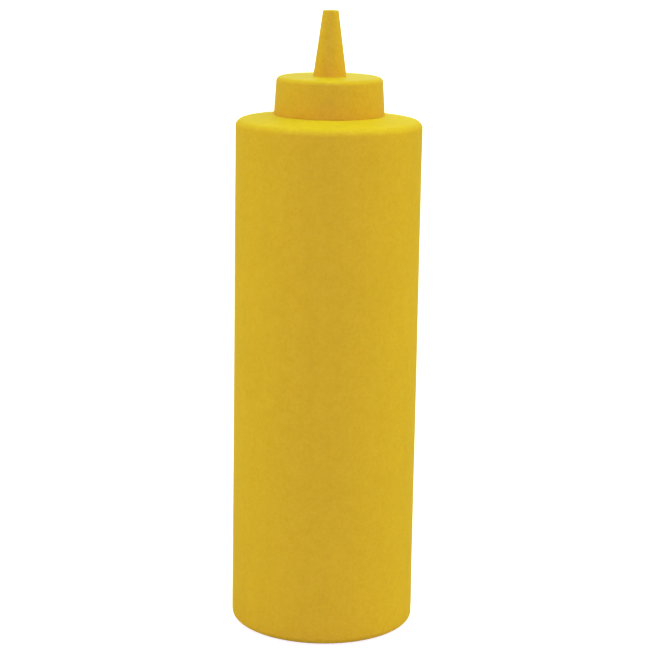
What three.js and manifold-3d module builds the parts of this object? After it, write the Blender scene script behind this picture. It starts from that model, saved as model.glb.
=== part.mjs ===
// Condiment squeeze bottle: a round blow-moulded bottle with a threaded neck, a screw cap with one
// conical nozzle moulded in it, and the ring under the cap's top that seals the neck.
// Units are millimetres and +Z is up. The origin is the middle of the standing ring.

import * as THREE from 'three';
import { mergeVertices } from 'three/addons/utils/BufferGeometryUtils.js';
import Module from 'manifold-3d';

const wasm = await Module();
wasm.setup();

// ---- driving dimensions ----

const AROUND = 72; // flat facets round every turned surface

// Bottle
const BODY_RADIUS = 35;
const WALL = 1.0;
const HEEL_WIDTH = 6.0; // the rounding from the standing ring up to the wall is a quarter ellipse
const HEEL_HEIGHT = 3.5;
const STANDING_RING_WIDTH = 5.0;
const BASE_RISE = 3.0; // height of the middle of the base above the standing ring
const BASE_THICKNESS = 1.4;
const SHOULDER_HEIGHT = 195.9; // top of the rounded shoulder edge
const SHOULDER_EDGE_RADIUS = 2.8;
const SHOULDER_SLOPE = 9; // degrees that the shoulder rises towards the neck

// Neck, a 38 mm finish with one start and six threads to the inch
const NECK_RADIUS = 17.4;
const NECK_CREST_RADIUS = 18.55;
const NECK_BORE_RADIUS = 15.7;
const NECK_FILLET = 1.2;
const RIM_HEIGHT = 209;
const RIM_CHAMFER = 0.5;
const PITCH = 25.4 / 6;
const THREAD_TURNS = 1.25;
const NECK_THREAD_START = 201.2; // height of the ridge's middle where it starts

// Cap
const CAP_FOOT_RADIUS = 20.75;
const CAP_FOOT_ROUNDING = 0.3;
const CAP_FOOT_GAP = 0.35; // height of the gap between the cap's foot and the shoulder under it
const CAP_TOP_HEIGHT = 211.8;
const CAP_TOP_RADIUS = 20; // where the skirt's taper would meet the cap's top
const CAP_EDGE_RADIUS = 1.8;
const CAP_TOP_THICKNESS = 1.4;
const SKIRT_INNER_FOOT_RADIUS = 19.1;
const SKIRT_INNER_TOP_RADIUS = 18.85;
const CAP_CREST_RADIUS = 17.8;

// Nozzle
const NOZZLE_BASE_RADIUS = 6.2;
const NOZZLE_TIP_RADIUS = 2.95;
const NOZZLE_TIP_HEIGHT = 236.3;
const NOZZLE_BORE_BASE_RADIUS = 4.9;
const NOZZLE_BORE_TIP_RADIUS = 1.6;
const NOZZLE_TIP_ROUNDING = 0.25;

// Seal ring: a flange between the neck's rim and the cap's top, and a lip inside the neck
const CLEARANCE = 0.3;
const SEAL_FLANGE_RADIUS = 17.4;
const SEAL_LIP_DEPTH = 3.0; // how far the lip reaches below the neck's rim
const SEAL_LIP_THICKNESS = 1.0;

// Thread ridges. Both have the same flanks. With the cap screwed down, its ridge lies under the
// neck's ridge by SEATED_DROP, which leaves the clearance between their flanks.
const RIDGE_ROOT_WIDTH = 2.4;
const RIDGE_CREST_WIDTH = 0.9;
const RIDGE_EMBED = 0.4; // how far a ridge's root reaches into the wall that carries it
const RIDGE_FADE = 24; // degrees over which each end of a ridge sinks into the wall
const RIDGE_SINK = 0.15; // how far under the wall's surface the crest has sunk at its ends
const SEATED_DROP = 1.75;
const CAP_THREAD_LEAD_IN = 60; // degrees that the cap's ridge starts after the neck's ridge

const YELLOW = 0xdcb42c;

// ---- geometry helpers ----

const radians = THREE.MathUtils.degToRad;
const point = (radius, height) => new THREE.Vector2(radius, height);

/** Points of an elliptical arc in the profile's plane, where x is the radius and y the height. */
function ellipse(centreRadius, centreHeight, width, height, fromDegrees, toDegrees, steps = 4) {
  const clockwise = toDegrees < fromDegrees;
  const curve = new THREE.EllipseCurve(
    centreRadius, centreHeight, width, height, radians(fromDegrees), radians(toDegrees), clockwise,
  );
  return curve.getPoints(steps);
}

/** Points of a circular arc in the profile's plane. */
function arc(centreRadius, centreHeight, radius, fromDegrees, toDegrees, steps = 4) {
  return ellipse(centreRadius, centreHeight, radius, radius, fromDegrees, toDegrees, steps);
}

/** Points of the raised middle of the base, from the axis out to its edge, where it is at lift. */
function raisedMiddle(edgeRadius, lift, steps = 6) {
  const points = [];
  for (let i = 0; i <= steps; i += 1) {
    const share = i / steps;
    points.push(point(edgeRadius * share, lift + BASE_RISE * (1 - share ** 2) ** 1.5));
  }
  return points;
}

/** A manifold solid from a closed three.js geometry. */
function solid(geometry) {
  const bare = geometry.index ? geometry.clone() : geometry;
  bare.deleteAttribute('normal');
  bare.deleteAttribute('uv');
  const merged = mergeVertices(bare, 1e-4);
  const corners = merged.index.array;
  const triangles = [];
  for (let i = 0; i < corners.length; i += 3) {
    const [a, b, c] = [corners[i], corners[i + 1], corners[i + 2]];
    if (a !== b && b !== c && c !== a) triangles.push(a, b, c);
  }
  const vertProperties = new Float32Array(merged.attributes.position.array);
  return new wasm.Manifold(
    new wasm.Mesh({ numProp: 3, vertProperties, triVerts: new Uint32Array(triangles) }),
  );
}

/** A three.js geometry from a manifold solid. */
function geometryOf(manifold) {
  const mesh = manifold.getMesh();
  const geometry = new THREE.BufferGeometry();
  geometry.setAttribute('position', new THREE.BufferAttribute(mesh.vertProperties, 3));
  geometry.setIndex(new THREE.BufferAttribute(mesh.triVerts, 1));
  geometry.computeVertexNormals();
  return geometry;
}

/** A profile of (radius, height) points turned about the Z axis. */
function turned(profile) {
  return new THREE.LatheGeometry(profile, AROUND).rotateX(Math.PI / 2);
}

/**
 * A right-hand thread ridge: a long box, divided along its length, bent round the Z axis and up the
 * helix. The crest sinks into the wall at both ends.
 */
function threadRidge({ rootRadius, crestRadius, startHeight, startDegrees }) {
  const steps = Math.round(THREAD_TURNS * AROUND);
  const box = new THREE.BoxGeometry(1, 1, 1, 1, steps, 1);
  const position = box.attributes.position;
  const outward = Math.sign(crestRadius - rootRadius);
  const turnDegrees = THREAD_TURNS * 360;
  for (let i = 0; i < position.count; i += 1) {
    const isCrest = Math.sign(position.getX(i)) === outward;
    const along = (position.getY(i) + 0.5) * turnDegrees;
    const side = Math.sign(position.getZ(i));
    const toEnd = Math.min(along, turnDegrees - along);
    const rise = THREE.MathUtils.smoothstep(toEnd, 0, RIDGE_FADE);
    const sunken = rootRadius - outward * RIDGE_SINK;
    const radius = isCrest
      ? THREE.MathUtils.lerp(sunken, crestRadius, rise)
      : rootRadius - outward * RIDGE_EMBED;
    const halfWidth = (isCrest ? RIDGE_CREST_WIDTH : RIDGE_ROOT_WIDTH) / 2;
    const angle = radians(startDegrees + along);
    const height = startHeight + (PITCH * along) / 360 + side * halfWidth;
    position.setXYZ(i, radius * Math.cos(angle), radius * Math.sin(angle), height);
  }
  return box;
}

// ---- bottle ----

/** Height of the shoulder's outer surface at a radius between the neck and the shoulder edge. */
function shoulderHeightAt(radius) {
  const edgeEnd = BODY_RADIUS - SHOULDER_EDGE_RADIUS;
  return SHOULDER_HEIGHT + (edgeEnd - radius) * Math.tan(radians(SHOULDER_SLOPE));
}

function bottleOuterProfile() {
  const edgeCentre = BODY_RADIUS - SHOULDER_EDGE_RADIUS;
  const heelCentre = BODY_RADIUS - HEEL_WIDTH;
  const filletCentre = NECK_RADIUS + NECK_FILLET;
  return [
    ...raisedMiddle(heelCentre - STANDING_RING_WIDTH, 0),
    ...ellipse(heelCentre, HEEL_HEIGHT, HEEL_WIDTH, HEEL_HEIGHT, -90, 0, 5),
    ...arc(edgeCentre, SHOULDER_HEIGHT - SHOULDER_EDGE_RADIUS, SHOULDER_EDGE_RADIUS, 0,
      90 - SHOULDER_SLOPE, 5),
    ...arc(filletCentre, shoulderHeightAt(filletCentre) + NECK_FILLET, NECK_FILLET, 270 - SHOULDER_SLOPE,
      180, 3),
    point(NECK_RADIUS, RIM_HEIGHT - RIM_CHAMFER),
    point(NECK_RADIUS - RIM_CHAMFER, RIM_HEIGHT),
  ];
}

function bottleInnerProfile() {
  const innerRadius = BODY_RADIUS - WALL;
  const edgeRadius = SHOULDER_EDGE_RADIUS - WALL;
  const edgeCentre = innerRadius - edgeRadius;
  const filletCentre = NECK_BORE_RADIUS + NECK_FILLET;
  const cornerCentre = BODY_RADIUS - HEEL_WIDTH;
  const cornerWidth = HEEL_WIDTH - WALL;
  const cornerHeight = HEEL_HEIGHT - WALL;
  return [
    point(NECK_BORE_RADIUS + RIM_CHAMFER, RIM_HEIGHT),
    point(NECK_BORE_RADIUS, RIM_HEIGHT - RIM_CHAMFER),
    ...arc(filletCentre, shoulderHeightAt(filletCentre) - WALL + NECK_FILLET, NECK_FILLET, 180,
      270 - SHOULDER_SLOPE, 3),
    ...arc(edgeCentre, SHOULDER_HEIGHT - WALL - edgeRadius, edgeRadius, 90 - SHOULDER_SLOPE, 0),
    ...ellipse(cornerCentre, BASE_THICKNESS + cornerHeight, cornerWidth, cornerHeight, 0, -90),
    ...raisedMiddle(cornerCentre - STANDING_RING_WIDTH, BASE_THICKNESS).reverse(),
  ];
}

function bottleGeometry() {
  const shell = solid(turned([...bottleOuterProfile(), ...bottleInnerProfile()]));
  const ridge = solid(threadRidge({
    rootRadius: NECK_RADIUS,
    crestRadius: NECK_CREST_RADIUS,
    startHeight: NECK_THREAD_START,
    startDegrees: 0,
  }));
  return geometryOf(shell.add(ridge));
}

// ---- cap ----

/** Height of the cap's foot, whose underside is parallel to the shoulder. */
const capFootHeightAt = (radius) => shoulderHeightAt(radius) + CAP_FOOT_GAP;

function capProfile() {
  const skirtHeight = CAP_TOP_HEIGHT - capFootHeightAt(CAP_FOOT_RADIUS);
  const taper = (CAP_FOOT_RADIUS - CAP_TOP_RADIUS) / skirtHeight;
  const taperDegrees = THREE.MathUtils.radToDeg(Math.atan(taper));
  const edgeCentre = CAP_TOP_RADIUS - CAP_EDGE_RADIUS;
  const underside = CAP_TOP_HEIGHT - CAP_TOP_THICKNESS;
  const tipCentre = NOZZLE_TIP_RADIUS - NOZZLE_TIP_ROUNDING;
  const innerFoot = point(SKIRT_INNER_FOOT_RADIUS, capFootHeightAt(SKIRT_INNER_FOOT_RADIUS));
  const footCentre = CAP_FOOT_RADIUS - CAP_FOOT_ROUNDING;
  const footRounding = CAP_FOOT_ROUNDING / Math.cos(radians(SHOULDER_SLOPE));
  return [
    innerFoot,
    ...arc(footCentre, capFootHeightAt(footCentre) + footRounding, CAP_FOOT_ROUNDING,
      -90 - SHOULDER_SLOPE, 0, 3),
    ...arc(edgeCentre, CAP_TOP_HEIGHT - CAP_EDGE_RADIUS, CAP_EDGE_RADIUS, taperDegrees, 90),
    point(NOZZLE_BASE_RADIUS, CAP_TOP_HEIGHT),
    ...arc(tipCentre, NOZZLE_TIP_HEIGHT - NOZZLE_TIP_ROUNDING, NOZZLE_TIP_ROUNDING, 0, 90, 2),
    point(NOZZLE_BORE_TIP_RADIUS, NOZZLE_TIP_HEIGHT),
    point(NOZZLE_BORE_BASE_RADIUS, underside),
    point(SKIRT_INNER_TOP_RADIUS, underside),
    innerFoot.clone(),
  ];
}

function capGeometry() {
  const shell = solid(turned(capProfile()));
  const leadIn = (PITCH * CAP_THREAD_LEAD_IN) / 360;
  const ridge = solid(threadRidge({
    rootRadius: (SKIRT_INNER_FOOT_RADIUS + SKIRT_INNER_TOP_RADIUS) / 2,
    crestRadius: CAP_CREST_RADIUS,
    startHeight: NECK_THREAD_START - SEATED_DROP + leadIn,
    startDegrees: CAP_THREAD_LEAD_IN,
  }));
  return geometryOf(shell.add(ridge));
}

// ---- seal ring ----

function sealGeometry() {
  const lipOuter = NECK_BORE_RADIUS - CLEARANCE;
  const lipInner = lipOuter - SEAL_LIP_THICKNESS;
  const lipFoot = RIM_HEIGHT - SEAL_LIP_DEPTH;
  const flangeFoot = RIM_HEIGHT + CLEARANCE;
  const flangeTop = CAP_TOP_HEIGHT - CAP_TOP_THICKNESS - CLEARANCE;
  const lipChamfer = SEAL_LIP_THICKNESS / 2;
  const start = point(lipInner, lipFoot);
  const profile = [
    start,
    point(lipOuter - lipChamfer, lipFoot),
    point(lipOuter, lipFoot + lipChamfer),
    point(lipOuter, flangeFoot),
    point(SEAL_FLANGE_RADIUS, flangeFoot),
    point(SEAL_FLANGE_RADIUS, flangeTop),
    point(lipInner, flangeTop),
    start.clone(),
  ];
  return geometryOf(solid(turned(profile)));
}

// ---- assembly ----

const plastic = (roughness) => new THREE.MeshStandardMaterial({ color: YELLOW, roughness, metalness: 0 });

const parts = [
  { name: 'bottle', geometry: bottleGeometry(), material: plastic(0.6) },
  { name: 'cap_seal', geometry: sealGeometry(), material: plastic(0.5) },
  { name: 'cap', geometry: capGeometry(), material: plastic(0.5) },
];

const squeezeBottle = new THREE.Group();
for (const { name, geometry, material } of parts) {
  const mesh = new THREE.Mesh(geometry, material);
  mesh.name = name;
  squeezeBottle.add(mesh);
}

export default squeezeBottle;
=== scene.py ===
"""Looks of the condiment squeeze bottle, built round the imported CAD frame.

Every profile below is in millimetres, as (radius, height) points round the bottle's axis, and
becomes metres when its mesh is made. The camera is the photograph's; the light is a soft studio.
"""

import math

import bpy
from mathutils import Euler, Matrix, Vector, noise


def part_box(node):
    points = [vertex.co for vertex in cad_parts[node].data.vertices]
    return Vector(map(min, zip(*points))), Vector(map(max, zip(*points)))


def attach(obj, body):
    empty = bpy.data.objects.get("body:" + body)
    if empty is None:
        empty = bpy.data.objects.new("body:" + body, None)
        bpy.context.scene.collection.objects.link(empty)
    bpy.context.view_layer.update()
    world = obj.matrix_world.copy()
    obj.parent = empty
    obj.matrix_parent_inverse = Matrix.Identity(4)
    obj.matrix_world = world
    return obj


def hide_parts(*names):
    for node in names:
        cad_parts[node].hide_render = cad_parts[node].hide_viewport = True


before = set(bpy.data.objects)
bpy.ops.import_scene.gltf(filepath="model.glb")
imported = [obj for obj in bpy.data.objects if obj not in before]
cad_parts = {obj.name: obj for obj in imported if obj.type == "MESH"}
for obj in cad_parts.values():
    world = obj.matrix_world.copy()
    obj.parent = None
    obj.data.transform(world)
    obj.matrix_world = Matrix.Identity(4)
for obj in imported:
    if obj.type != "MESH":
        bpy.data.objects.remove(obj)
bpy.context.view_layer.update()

MM = 0.001

# ---- sizes in mm: the outermost ones come from the frame, the rest are the part's own dimensions ----

BODY_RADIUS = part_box("bottle")[1].x / MM
RIM_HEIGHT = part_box("bottle")[1].z / MM
CAP_FOOT_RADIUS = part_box("cap")[1].x / MM
NOZZLE_TIP_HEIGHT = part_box("cap")[1].z / MM
SEAL_FLANGE_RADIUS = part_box("cap_seal")[1].x / MM
SEAL_FOOT_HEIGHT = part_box("cap_seal")[0].z / MM
SEAL_TOP_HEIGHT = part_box("cap_seal")[1].z / MM

WALL = 1.0
HEEL_WIDTH = 6.0
HEEL_HEIGHT = 3.5
STANDING_RING_WIDTH = 5.0
BASE_RISE = 3.0
BASE_THICKNESS = 1.4
SHOULDER_HEIGHT = 195.9
SHOULDER_EDGE_RADIUS = 2.8
SHOULDER_SLOPE = 9.0

NECK_RADIUS = 17.4
NECK_CREST_RADIUS = 18.55
NECK_BORE_RADIUS = 15.7
NECK_FILLET = 1.2
RIM_ROUNDING = 0.5
PITCH = 25.4 / 6
THREAD_TURNS = 1.25
NECK_THREAD_START = 201.2
SEATED_DROP = 1.75
CAP_THREAD_LEAD_IN = 60.0
RIDGE_ROOT_WIDTH = 2.4
RIDGE_CREST_WIDTH = 0.9
RIDGE_FADE = 24.0

CAP_FOOT_GAP = 0.02  # the cap is screwed down until its foot all but touches the shoulder
CAP_FOOT_ROUNDING = 0.08
CAP_TOP_HEIGHT = 211.8
CAP_TOP_RADIUS = 20.0
CAP_EDGE_RADIUS = 1.85
CAP_TOP_THICKNESS = 1.4
SKIRT_INNER_FOOT_RADIUS = 19.1
SKIRT_INNER_TOP_RADIUS = 18.85
CAP_CREST_RADIUS = 17.8
CAP_INNER_FILLET = 0.6
NOZZLE_BASE_RADIUS = 6.2
NOZZLE_TIP_RADIUS = 2.95
NOZZLE_BORE_BASE_RADIUS = 4.9
NOZZLE_BORE_TIP_RADIUS = 1.6
NOZZLE_TIP_ROUNDING = 0.3
NOZZLE_BORE_ROUNDING = 0.2
NOZZLE_BORE_FLARE = 10.0  # degrees off the axis where the bore's edge inside the cap begins
NOZZLE_BASE_FILLET = 0.35

SEAL_CLEARANCE = 0.3
SEAL_LIP_THICKNESS = 1.0
SEAL_LIP_ROUNDING = 0.4
SEAL_EDGE_ROUNDING = 0.15

# ---- fineness of the meshes ----

BOTTLE_COLUMNS = 240
CAP_COLUMNS = 256
SEAL_COLUMNS = 192
THREAD_ROW_SPACING = 0.15  # mm between the rows of a wall that carries a thread
SAME_POINT = 1e-6  # mm; points closer than this are one
ON_SURFACE = 0.01  # mm; a point is on a surface when it is this near to it


# ---- profiles and turned meshes ----


def ellipse(centre_radius, centre_height, width, height, start, end, steps):
    """Points of an ellipse of two half axes from start to end degrees, both ends included."""
    points = []
    for i in range(steps + 1):
        angle = math.radians(start + (end - start) * i / steps)
        points.append(
            (centre_radius + width * math.cos(angle), centre_height + height * math.sin(angle))
        )
    return points


def arc(centre_radius, centre_height, radius, start, end, steps):
    """Points of a circular arc from start to end degrees, both ends included."""
    return ellipse(centre_radius, centre_height, radius, radius, start, end, steps)


def line(start, end, steps):
    """Points between start and end, with neither end included."""
    return [
        (
            start[0] + (end[0] - start[0]) * i / steps,
            start[1] + (end[1] - start[1]) * i / steps,
        )
        for i in range(1, steps)
    ]


def joined(*stretches, spacing):
    """One profile from several stretches, with straight gaps filled at about the given spacing."""
    points = list(stretches[0])
    for stretch in stretches[1:]:
        gap = math.dist(points[-1], stretch[0])
        if gap > spacing:
            points += line(points[-1], stretch[0], math.ceil(gap / spacing))
        points += stretch if gap > SAME_POINT else stretch[1:]
    return points


def smooth(value, low, high):
    """0 at low, 1 at high and smooth in between."""
    t = min(1.0, max(0.0, (value - low) / (high - low)))
    return t * t * (3 - 2 * t)


def faces_between(low, high):
    """Faces between two rings of vertex numbers, one of which may be a pole."""
    count = max(len(low), len(high))
    faces = []
    for i in range(count):
        j = (i + 1) % count
        if len(low) == 1:
            faces.append((low[0], high[j], high[i]))
        elif len(high) == 1:
            faces.append((low[i], low[j], high[0]))
        else:
            faces.append((low[i], low[j], high[j], high[i]))
    return faces


def turned(name, profile, angles, shape, closes):
    """A smooth mesh of a profile turned about Z. shape(radius, height, angle) moves each point.

    A profile that starts and ends on the axis gets a pole at each end; one that closes is a loop.
    """
    verts, faces, rings = [], [], []
    for radius, height in profile:
        if radius < SAME_POINT:
            rings.append([len(verts)])
            verts.append((0.0, 0.0, shape(0.0, height, 0.0)[1] * MM))
            continue
        ring = []
        for angle in angles:
            r, z = shape(radius, height, angle)
            ring.append(len(verts))
            verts.append((r * math.cos(angle) * MM, r * math.sin(angle) * MM, z * MM))
        rings.append(ring)
    if closes:
        rings.append(rings[0])
    for low, high in zip(rings, rings[1:]):
        faces += faces_between(low, high)
    mesh = bpy.data.meshes.new(name)
    mesh.from_pydata(verts, [], faces)
    mesh.validate()
    mesh.shade_smooth()
    piece = bpy.data.objects.new(name, mesh)
    bpy.context.scene.collection.objects.link(piece)
    return piece


def even_angles(count):
    """Angles in radians, evenly spaced round one turn."""
    return [2 * math.pi * i / count for i in range(count)]


def ridge_height(angle, height, start_height, start_degrees):
    """Share of a thread ridge's full height at a point of the wall that carries it, 0 to 1.

    The ridge is longer than one turn, so it may pass the same angle more than once.
    """
    half_root, half_crest = RIDGE_ROOT_WIDTH / 2, RIDGE_CREST_WIDTH / 2
    turn_degrees = THREAD_TURNS * 360
    best = 0.0
    for turn in range(-1, 3):
        along = math.degrees(angle) + 360 * turn - start_degrees
        if not 0 < along < turn_degrees:
            continue
        middle = start_height + PITCH * along / 360
        flank = smooth(half_root - abs(height - middle), 0, half_root - half_crest)
        ends = smooth(min(along, turn_degrees - along), 0, RIDGE_FADE)
        best = max(best, flank * ends)
    return best


def shoulder_height_at(radius):
    """Height of the sloping shoulder's outer surface."""
    edge_end = BODY_RADIUS - SHOULDER_EDGE_RADIUS
    return SHOULDER_HEIGHT + (edge_end - radius) * math.tan(math.radians(SHOULDER_SLOPE))


# ---- bottle ----

PARTING_WALL_HEIGHT = 0.09  # how far the mould's parting line stands proud of the wall
PARTING_SHOULDER_HEIGHT = 0.06
PARTING_HALF_WIDTH = 0.22
PARTING_COLUMNS = (0.12, 0.24, 0.38, 0.6)  # mm from a parting line to the extra columns beside it
PARTING_FADE = 3.0  # it ends this far outside the cap's foot, which sits on a clean shoulder
PARTING_HEEL_START = 2.0  # on the heel it begins at this height and is whole at the next one
PARTING_HEEL_END = 8.0
PARTING_NECK_GAP = 0.5  # it stays this far from the neck
WALL_OUTER_SHARE = 0.7  # the part of the wall's thickness that counts as its outside
SHOULDER_FOOT = SHOULDER_HEIGHT - 1.2  # the shoulder, inside and outside, is above this height
SHOULDER_TURN = SHOULDER_HEIGHT - 1.0  # above this height the line stands up instead of outwards
SHOULDER_TOP = RIM_HEIGHT - 10.0

PINCH_HEIGHT = 0.35  # the weld where the mould pinched the tube shut, across the base
PINCH_HALF_WIDTH = 0.5
PINCH_HALF_LENGTH = 17.0
PINCH_FADE = 3.0
PINCH_REACH = BASE_RISE + 0.2  # it moves what is below this height, on both faces of the base

WAVE_HEIGHT = 0.06  # slow unevenness of a blown wall
WAVE_LENGTH = 38.0
WAVE_STRETCH = 0.6  # less than 1 makes the waves longer along the axis
WAVE_START = (4.0, 22.0)  # heights between which the waves grow above the heel
WAVE_END = (176.0, 193.0)  # and fade below the shoulder


def bottle_angles():
    """Even angles, with closer ones beside the two parting lines at +X and -X."""
    angles = set(even_angles(BOTTLE_COLUMNS))
    for seam in (0.0, math.pi):
        for offset in PARTING_COLUMNS:
            step = offset / BODY_RADIUS
            angles.add((seam + step) % (2 * math.pi))
            angles.add((seam - step) % (2 * math.pi))
    return sorted(angles)


def base_points(edge_radius, lift, steps=18):
    """The raised middle of the base, from the axis out to the standing ring, as a low dome."""
    points = []
    for i in range(steps):
        radius = edge_radius * i / steps
        points.append((radius, lift + BASE_RISE * (1 - (radius / edge_radius) ** 2) ** 1.5))
    points.append((edge_radius, lift))
    return points


def bottle_profile():
    """The bottle's section: up the outside from the base to the rim, and back down the inside."""
    heel = BODY_RADIUS - HEEL_WIDTH
    edge = BODY_RADIUS - SHOULDER_EDGE_RADIUS
    ring = heel - STANDING_RING_WIDTH
    fillet = NECK_RADIUS + NECK_FILLET
    outer = joined(
        base_points(ring, 0),
        ellipse(heel, HEEL_HEIGHT, HEEL_WIDTH, HEEL_HEIGHT, -90, 0, 16),
        arc(edge, SHOULDER_HEIGHT - SHOULDER_EDGE_RADIUS, SHOULDER_EDGE_RADIUS, 0,
            90 - SHOULDER_SLOPE, 16),
        arc(fillet, shoulder_height_at(fillet) + NECK_FILLET, NECK_FILLET, 270 - SHOULDER_SLOPE,
            180, 6),
        spacing=3.0,
    )
    neck_foot = outer[-1][1]
    neck_top = RIM_HEIGHT - RIM_ROUNDING
    rows = round((neck_top - neck_foot) / THREAD_ROW_SPACING)
    outer += line(outer[-1], (NECK_RADIUS, neck_top), rows)
    inner_radius = BODY_RADIUS - WALL
    edge_inside = SHOULDER_EDGE_RADIUS - WALL
    corner_height = HEEL_HEIGHT - WALL
    inner_fillet = NECK_BORE_RADIUS + NECK_FILLET
    inner = joined(
        arc(NECK_RADIUS - RIM_ROUNDING, neck_top, RIM_ROUNDING, 0, 90, 5),
        arc(NECK_BORE_RADIUS + RIM_ROUNDING, neck_top, RIM_ROUNDING, 90, 180, 5),
        arc(inner_fillet, shoulder_height_at(inner_fillet) - WALL + NECK_FILLET, NECK_FILLET, 180,
            270 - SHOULDER_SLOPE, 5),
        arc(inner_radius - edge_inside, SHOULDER_HEIGHT - WALL - edge_inside, edge_inside,
            90 - SHOULDER_SLOPE, 0, 6),
        ellipse(heel, BASE_THICKNESS + corner_height, HEEL_WIDTH - WALL, corner_height, 0, -90, 6),
        base_points(ring, BASE_THICKNESS, 8)[::-1],
        spacing=6.0,
    )
    return outer + inner


def wall_wave(x, y, height):
    """How far the blown wall strays from its true radius, always inwards."""
    share = smooth(height, *WAVE_START) * (1 - smooth(height, *WAVE_END))
    wave = noise.noise(Vector((x, y, height * WAVE_STRETCH)) / WAVE_LENGTH)
    return wave * WAVE_HEIGHT * share - WAVE_HEIGHT * share


def with_parting_line(radius, height, y):
    """A point moved by the mould's parting lines: outwards on the wall and up on the shoulder."""
    on_wall = radius > BODY_RADIUS - WALL * WALL_OUTER_SHARE
    on_shoulder = SHOULDER_FOOT < height < SHOULDER_TOP
    if not (on_wall or on_shoulder) or radius <= NECK_RADIUS + PARTING_NECK_GAP:
        return radius, height
    share = math.exp(-((y / PARTING_HALF_WIDTH) ** 2))
    if height > SHOULDER_TURN:
        clear_of_cap = smooth(radius, CAP_FOOT_RADIUS, CAP_FOOT_RADIUS + PARTING_FADE)
        return radius, height + PARTING_SHOULDER_HEIGHT * share * clear_of_cap
    above_heel = smooth(height, PARTING_HEEL_START, PARTING_HEEL_END)
    return radius + PARTING_WALL_HEIGHT * share * above_heel, height


def pinch_depth(x, y, height):
    """How far the pinch weld hangs below the raised middle of the base."""
    if height >= PINCH_REACH:
        return 0.0
    share = math.exp(-((y / PINCH_HALF_WIDTH) ** 2))
    ends = 1 - smooth(abs(x), PINCH_HALF_LENGTH - PINCH_FADE, PINCH_HALF_LENGTH)
    return PINCH_HEIGHT * share * ends


def bottle_shape(radius, height, angle):
    """Moves a point of the plain bottle by its waves, parting lines, pinch weld and thread."""
    x, y = radius * math.cos(angle), radius * math.sin(angle)
    radius += wall_wave(x, y, height)
    radius, height = with_parting_line(radius, height, y)
    height -= pinch_depth(x, y, height)
    if abs(radius - NECK_RADIUS) < ON_SURFACE:
        share = ridge_height(angle, height, NECK_THREAD_START, 0.0)
        radius += share * (NECK_CREST_RADIUS - NECK_RADIUS)
    return radius, height


# ---- cap ----

CAP_THREAD_START = NECK_THREAD_START - SEATED_DROP + PITCH * CAP_THREAD_LEAD_IN / 360


def cap_foot_height_at(radius):
    """Height of the skirt's foot, which follows the slope of the shoulder."""
    return shoulder_height_at(radius) + CAP_FOOT_GAP


def cap_profile():
    """The cap's section, a loop: up the outside to the nozzle's tip, and back down the inside."""
    skirt_height = CAP_TOP_HEIGHT - cap_foot_height_at(CAP_FOOT_RADIUS)
    taper = math.degrees(math.atan((CAP_FOOT_RADIUS - CAP_TOP_RADIUS) / skirt_height))
    underside = CAP_TOP_HEIGHT - CAP_TOP_THICKNESS
    nozzle_height = NOZZLE_TIP_HEIGHT - CAP_TOP_HEIGHT
    cone = math.degrees(math.atan((NOZZLE_BASE_RADIUS - NOZZLE_TIP_RADIUS) / nozzle_height))
    tip = NOZZLE_TIP_RADIUS - NOZZLE_TIP_ROUNDING
    foot = CAP_FOOT_RADIUS - CAP_FOOT_ROUNDING
    inner_foot = SKIRT_INNER_FOOT_RADIUS + CAP_FOOT_ROUNDING
    section = joined(
        arc(foot, cap_foot_height_at(foot) + CAP_FOOT_ROUNDING, CAP_FOOT_ROUNDING,
            -90 - SHOULDER_SLOPE, taper, 5),
        arc(CAP_TOP_RADIUS - CAP_EDGE_RADIUS, CAP_TOP_HEIGHT - CAP_EDGE_RADIUS, CAP_EDGE_RADIUS,
            taper, 90, 12),
        arc(NOZZLE_BASE_RADIUS + NOZZLE_BASE_FILLET, CAP_TOP_HEIGHT + NOZZLE_BASE_FILLET,
            NOZZLE_BASE_FILLET, 270, 180 + cone, 5),
        arc(tip, NOZZLE_TIP_HEIGHT - NOZZLE_TIP_ROUNDING, NOZZLE_TIP_ROUNDING, cone, 90, 5),
        arc(NOZZLE_BORE_TIP_RADIUS + NOZZLE_BORE_ROUNDING, NOZZLE_TIP_HEIGHT - NOZZLE_BORE_ROUNDING,
            NOZZLE_BORE_ROUNDING, 90, 180, 4),
        arc(NOZZLE_BORE_BASE_RADIUS + CAP_INNER_FILLET, underside + CAP_INNER_FILLET, CAP_INNER_FILLET,
            180 + NOZZLE_BORE_FLARE, 270, 4),
        arc(SKIRT_INNER_TOP_RADIUS - CAP_INNER_FILLET, underside - CAP_INNER_FILLET, CAP_INNER_FILLET,
            90, 0, 5),
        spacing=1.2,
    )
    inner_foot_height = cap_foot_height_at(inner_foot) + CAP_FOOT_ROUNDING
    skirt_end = (SKIRT_INNER_FOOT_RADIUS, inner_foot_height)
    rows = round((section[-1][1] - inner_foot_height) / THREAD_ROW_SPACING)
    section += line(section[-1], skirt_end, rows)
    section += arc(inner_foot, inner_foot_height, CAP_FOOT_ROUNDING, 180, 270 - SHOULDER_SLOPE, 4)
    return section


def cap_shape(radius, height, angle):
    """Moves a point of the skirt's inner wall in to the ridge of the thread."""
    if SKIRT_INNER_TOP_RADIUS - ON_SURFACE < radius < SKIRT_INNER_FOOT_RADIUS + ON_SURFACE:
        share = ridge_height(angle, height, CAP_THREAD_START, CAP_THREAD_LEAD_IN)
        radius += share * (CAP_CREST_RADIUS - radius)
    return radius, height


# ---- seal ring ----


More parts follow.
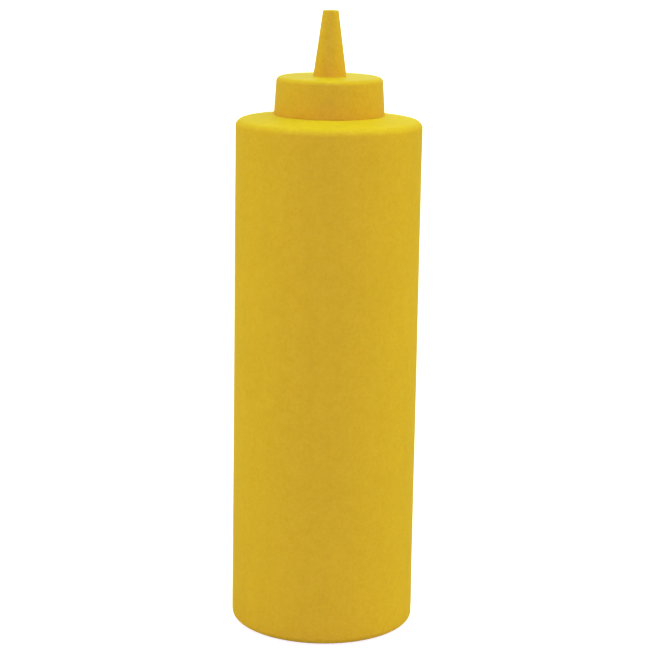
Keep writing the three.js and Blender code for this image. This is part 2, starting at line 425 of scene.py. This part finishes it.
def seal_profile():
    """The seal ring's section, a loop: a flange over the rim and a lip down into the bore."""
    lip_outer = NECK_BORE_RADIUS - SEAL_CLEARANCE
    lip_inner = lip_outer - SEAL_LIP_THICKNESS
    flange_foot = RIM_HEIGHT + SEAL_CLEARANCE
    edge = SEAL_EDGE_ROUNDING
    return joined(
        arc(lip_inner + edge, SEAL_FOOT_HEIGHT + edge, edge, 180, 270, 3),
        arc(lip_outer - SEAL_LIP_ROUNDING, SEAL_FOOT_HEIGHT + SEAL_LIP_ROUNDING, SEAL_LIP_ROUNDING,
            -90, 0, 5),
        arc(lip_outer + edge, flange_foot - edge, edge, 180, 90, 3),
        arc(SEAL_FLANGE_RADIUS - edge, flange_foot + edge, edge, -90, 0, 3),
        arc(SEAL_FLANGE_RADIUS - edge, SEAL_TOP_HEIGHT - edge, edge, 0, 90, 3),
        arc(lip_inner + edge, SEAL_TOP_HEIGHT - edge, edge, 90, 180, 3),
        spacing=0.8,
    )


def seal_shape(radius, height, angle):
    """The seal ring is plain all round."""
    return radius, height


# ---- plastic ----

BOTTLE_COLOUR = (0.785, 0.462, 0.029)
CAP_COLOUR = (0.765, 0.452, 0.026)
CONTRAST = 0.055  # how far the deep and the pale pigment are from the colour, as a share of it
DEEP_TINT = (1.004, 0.994, 0.9)  # deeper patches are redder
PALE_TINT = (0.996, 1.006, 1.1)

SPECK_SIZE = 1.1  # mm between the soft specks of the moulded skin
PATCH_SIZE = 3.2  # patches of slightly uneven pigment
DRIFT_SIZE = 22.0  # slow change of colour over the whole wall
STREAK_WIDTH = 5.0  # faint lines where the plastic flowed, drawn out along the axis
STREAK_STRETCH = 14.0
PEEL_SIZE = 2.4  # orange peel of a blown or moulded surface

NOISE_LOW = 0.3  # most noise lies between these two
NOISE_HIGH = 0.7

# How much each pattern adds to the shade, which runs from the deep colour at 0 to the pale one at 1
PATTERN_SHARES = {"specks": 1.9, "patches": 0.9, "drift": 0.7, "streaks": 0.5}

PLASTIC_IOR = 1.5
ROUGHNESS_SPREAD = 0.07
SUBSURFACE_SHARE = 0.12
SUBSURFACE_TINT = (1.0, 0.7, 0.15)  # how far red, green and blue light reach, compared
SUBSURFACE_DEPTH = 1.5  # mm


def new_material(name):
    """A new material with its nodes and links."""
    material = bpy.data.materials.new(name)
    material.use_nodes = True
    return material, material.node_tree.nodes, material.node_tree.links


def noise_node(nodes, links, coordinates, size, detail):
    """Noise whose features are about size millimetres apart."""
    node = nodes.new("ShaderNodeTexNoise")
    node.inputs["Scale"].default_value = 1 / (size * MM)
    node.inputs["Detail"].default_value = detail
    links.new(coordinates, node.inputs["Vector"])
    return node.outputs["Fac"]


def mapped(nodes, links, source, low, high):
    """Noise spread over low to high."""
    node = nodes.new("ShaderNodeMapRange")
    node.inputs["From Min"].default_value = NOISE_LOW
    node.inputs["From Max"].default_value = NOISE_HIGH
    node.inputs["To Min"].default_value = low
    node.inputs["To Max"].default_value = high
    links.new(source, node.inputs["Value"])
    return node.outputs["Result"]


def weighted(nodes, links, value, weight, rest):
    """value times weight, plus rest, which is a socket or a number."""
    node = nodes.new("ShaderNodeMath")
    node.operation = "MULTIPLY_ADD"
    links.new(value, node.inputs[0])
    node.inputs[1].default_value = weight
    if isinstance(rest, float):
        node.inputs[2].default_value = rest
    else:
        links.new(rest, node.inputs[2])
    return node.outputs["Value"]


def between(nodes, links, factor, low, high):
    """A colour between two."""
    node = nodes.new("ShaderNodeMix")
    node.data_type = "RGBA"
    node.inputs["A"].default_value = (*low, 1)
    node.inputs["B"].default_value = (*high, 1)
    links.new(factor, node.inputs["Factor"])
    return node.outputs["Result"]


def product(nodes, links, first, second):
    """Two colours multiplied."""
    node = nodes.new("ShaderNodeMix")
    node.data_type = "RGBA"
    node.blend_type = "MULTIPLY"
    node.inputs["Factor"].default_value = 1
    links.new(first, node.inputs["A"])
    links.new(second, node.inputs["B"])
    return node.outputs["Result"]


def bump(nodes, links, pattern, depth, under=None):
    """Normals of a bump of so many millimetres, which may lie on top of another bump."""
    node = nodes.new("ShaderNodeBump")
    node.inputs["Distance"].default_value = depth * MM
    links.new(pattern, node.inputs["Height"])
    if under is not None:
        links.new(under, node.inputs["Normal"])
    return node.outputs["Normal"]


def drawn_out(nodes, links, coordinates):
    """Coordinates that stretch a pattern along the axis."""
    node = nodes.new("ShaderNodeMapping")
    node.inputs["Scale"].default_value = (1, 1, 1 / STREAK_STRETCH)
    links.new(coordinates, node.inputs["Vector"])
    return node.outputs["Vector"]


def skin_patterns(nodes, links):
    """The patterns of moulded plastic, fixed to the piece."""
    place = nodes.new("ShaderNodeTexCoord").outputs["Object"]
    return {
        "specks": noise_node(nodes, links, place, SPECK_SIZE, 2),
        "patches": noise_node(nodes, links, place, PATCH_SIZE, 2),
        "drift": noise_node(nodes, links, place, DRIFT_SIZE, 3),
        "streaks": noise_node(nodes, links, drawn_out(nodes, links, place), STREAK_WIDTH, 2),
        "peel": noise_node(nodes, links, place, PEEL_SIZE, 1),
    }


def pigment(nodes, links, patterns, colour):
    """The colour, made deeper and paler by the patterns and redder or yellower by the patches."""
    shade = 0.5 - 0.5 * sum(PATTERN_SHARES.values())
    for name, share in PATTERN_SHARES.items():
        shade = weighted(nodes, links, patterns[name], share, shade)
    deep = [channel * (1 - CONTRAST) for channel in colour]
    pale = [channel * (1 + CONTRAST) for channel in colour]
    warmth = mapped(nodes, links, patterns["patches"], 0, 1)
    tint = between(nodes, links, warmth, DEEP_TINT, PALE_TINT)
    return product(nodes, links, between(nodes, links, shade, deep, pale), tint)


def uneven_roughness(nodes, links, patterns, roughness):
    """Roughness that varies with the specks and the patches alike."""
    specks = weighted(nodes, links, patterns["specks"], 0.5, 0.0)
    uneven = weighted(nodes, links, patterns["patches"], 0.5, specks)
    return mapped(nodes, links, uneven, roughness - ROUGHNESS_SPREAD, roughness + ROUGHNESS_SPREAD)


def moulded_plastic(name, colour, roughness, gloss, grain_depth, peel_depth):
    """Matte moulded polyethylene, with its pigment, its grain and its orange peel."""
    material, nodes, links = new_material(name)
    shader = nodes["Principled BSDF"]
    patterns = skin_patterns(nodes, links)
    links.new(pigment(nodes, links, patterns, colour), shader.inputs["Base Color"])
    links.new(uneven_roughness(nodes, links, patterns, roughness), shader.inputs["Roughness"])
    peel = bump(nodes, links, patterns["peel"], peel_depth)
    links.new(bump(nodes, links, patterns["specks"], grain_depth, peel), shader.inputs["Normal"])
    shader.inputs["IOR"].default_value = PLASTIC_IOR
    shader.inputs["Specular IOR Level"].default_value = gloss
    shader.inputs["Subsurface Weight"].default_value = SUBSURFACE_SHARE
    shader.inputs["Subsurface Radius"].default_value = SUBSURFACE_TINT
    shader.inputs["Subsurface Scale"].default_value = SUBSURFACE_DEPTH * MM
    return material


def bottle_material():
    """The blown bottle, which is dull."""
    return moulded_plastic(
        "bottle_plastic", BOTTLE_COLOUR, roughness=0.55, gloss=0.04, grain_depth=0.06, peel_depth=0.06
    )


def cap_material():
    """The injection-moulded cap, a little deeper in colour and glossier."""
    return moulded_plastic(
        "cap_plastic", CAP_COLOUR, roughness=0.5, gloss=0.09, grain_depth=0.05, peel_depth=0.05
    )


# ---- pieces ----


def put(piece, node, material):
    """Lets a piece ride with its node's body, stand for the node and take its finish."""
    piece.data.materials.append(material)
    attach(piece, node)
    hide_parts(node)


def build_pieces():
    """The bottle, the cap and the seal ring. Each node here has the same name as its body."""
    bottle_plastic = bottle_material()
    cap_plastic = cap_material()
    bottle = turned("bottle_shell", bottle_profile(), bottle_angles(), bottle_shape, closes=False)
    put(bottle, "bottle", bottle_plastic)
    cap = turned("cap_with_nozzle", cap_profile(), even_angles(CAP_COLUMNS), cap_shape, closes=True)
    put(cap, "cap", cap_plastic)
    seal = turned("seal_ring", seal_profile(), even_angles(SEAL_COLUMNS), seal_shape, closes=True)
    put(seal, "cap_seal", cap_plastic)


# ---- stage and light ----

FLOOR_HALF_SIZE = 12.0  # metres
FLOOR_COLOUR = (0.65, 0.65, 0.65)
FLOOR_ROUGHNESS = 0.8
FLOOR_GLOSS = 0.2
BACKDROP_GLOW = 0.85  # what the camera sees of the paper's own light, which keeps it white

# Soft lamps far away. Each has a name, its spread and tilts in degrees, and the red, green and blue
# light that it gives to a surface that faces it.
LAMPS = (
    ("overhead", 40, (0, 0), (0.09, 0.52, 0.02)),
    ("key", 30, (25, 0), (0.15, 0.21, 0.02)),
    ("front_fill", 40, (70, 0), (0.02, 0.01, 0.35)),
    ("rear_fill", 40, (-70, 0), (0.07, 0.12, 0.04)),
    ("left_softbox", 40, (0, -85), (0.24, 0.33, 0.05)),
    ("right_edge", 40, (0, 85), (0.09, 0.07, 0.01)),
    ("right_softbox", 50, (0, 45), (0.19, 0.30, 0.02)),
)
ROOM_LIGHT = (0.61, 0.36, 0.49)


def camera_rays(nodes):
    """1 for what the camera sees directly, and 0 for all light that reaches the object."""
    return nodes.new("ShaderNodeLightPath").outputs["Is Camera Ray"]


def floor_material():
    """Paper that looks evenly white, as if lit from behind, but lights the object as pale paper."""
    material, nodes, links = new_material("floor_paper")
    shader = nodes["Principled BSDF"]
    shader.inputs["Base Color"].default_value = (*FLOOR_COLOUR, 1)
    shader.inputs["Roughness"].default_value = FLOOR_ROUGHNESS
    shader.inputs["Specular IOR Level"].default_value = FLOOR_GLOSS
    shader.inputs["Emission Color"].default_value = (1, 1, 1, 1)
    glow = nodes.new("ShaderNodeMath")
    glow.operation = "MULTIPLY"
    glow.inputs[1].default_value = BACKDROP_GLOW
    links.new(camera_rays(nodes), glow.inputs[0])
    links.new(glow.outputs["Value"], shader.inputs["Emission Strength"])
    return material


def build_floor():
    """One wide sheet of paper under the object."""
    size = FLOOR_HALF_SIZE
    mesh = bpy.data.meshes.new("floor")
    corners = [(-size, -size, 0), (size, -size, 0), (size, size, 0), (-size, size, 0)]
    mesh.from_pydata(corners, [], [(0, 1, 2, 3)])
    mesh.materials.append(floor_material())
    floor = bpy.data.objects.new("floor", mesh)
    bpy.context.scene.collection.objects.link(floor)


def build_lamp(name, spread, tilts, light):
    """A wide soft lamp, as a sun with a broad disc."""
    data = bpy.data.lights.new(name, "SUN")
    data.angle = math.radians(spread)
    data.energy = math.pi * max(light)
    data.color = [share / max(light) for share in light]
    lamp = bpy.data.objects.new(name, data)
    lamp.rotation_euler = (math.radians(tilts[0]), math.radians(tilts[1]), 0)
    bpy.context.scene.collection.objects.link(lamp)


def build_room():
    """A world that lights the object with the room's light and shows the camera a white backdrop."""
    world = bpy.data.worlds.new("studio")
    world.use_nodes = True
    nodes, links = world.node_tree.nodes, world.node_tree.links
    room = nodes["Background"]
    room.inputs["Color"].default_value = (*ROOM_LIGHT, 1)
    backdrop = nodes.new("ShaderNodeBackground")
    backdrop.inputs["Color"].default_value = (1, 1, 1, 1)
    choice = nodes.new("ShaderNodeMixShader")
    links.new(camera_rays(nodes), choice.inputs["Fac"])
    links.new(room.outputs["Background"], choice.inputs[1])
    links.new(backdrop.outputs["Background"], choice.inputs[2])
    links.new(choice.outputs["Shader"], nodes["World Output"].inputs["Surface"])
    bpy.context.scene.world = world


def build_stage():
    """Everything round the object, shown with colours as they are, without a film look."""
    build_floor()
    for lamp in LAMPS:
        build_lamp(*lamp)
    build_room()
    bpy.context.scene.view_settings.view_transform = "Standard"


# ---- camera ----

CAMERA_PLACE = (-0.00037, -0.782, 0.2834)  # metres
CAMERA_PITCH = 11.9  # degrees down
CAMERA_ROLL = 0.9  # degrees
CAMERA_SENSOR = 36  # mm across
CAMERA_LENS = 115.83  # mm
CAMERA_SHIFT = -0.0062


def build_camera():
    """The camera of the photograph: a little above the bottle, looking slightly down."""
    data = bpy.data.cameras.new("camera")
    data.sensor_width = CAMERA_SENSOR
    data.lens = CAMERA_LENS
    data.shift_y = CAMERA_SHIFT
    camera = bpy.data.objects.new("camera", data)
    camera.location = CAMERA_PLACE
    tilt = Euler((math.radians(90 - CAMERA_PITCH), 0, 0)).to_matrix()
    turn = Euler((0, 0, math.radians(CAMERA_ROLL))).to_matrix()
    camera.rotation_euler = (tilt @ turn).to_euler()
    bpy.context.scene.collection.objects.link(camera)
    bpy.context.scene.camera = camera


build_camera()
build_stage()
build_pieces()
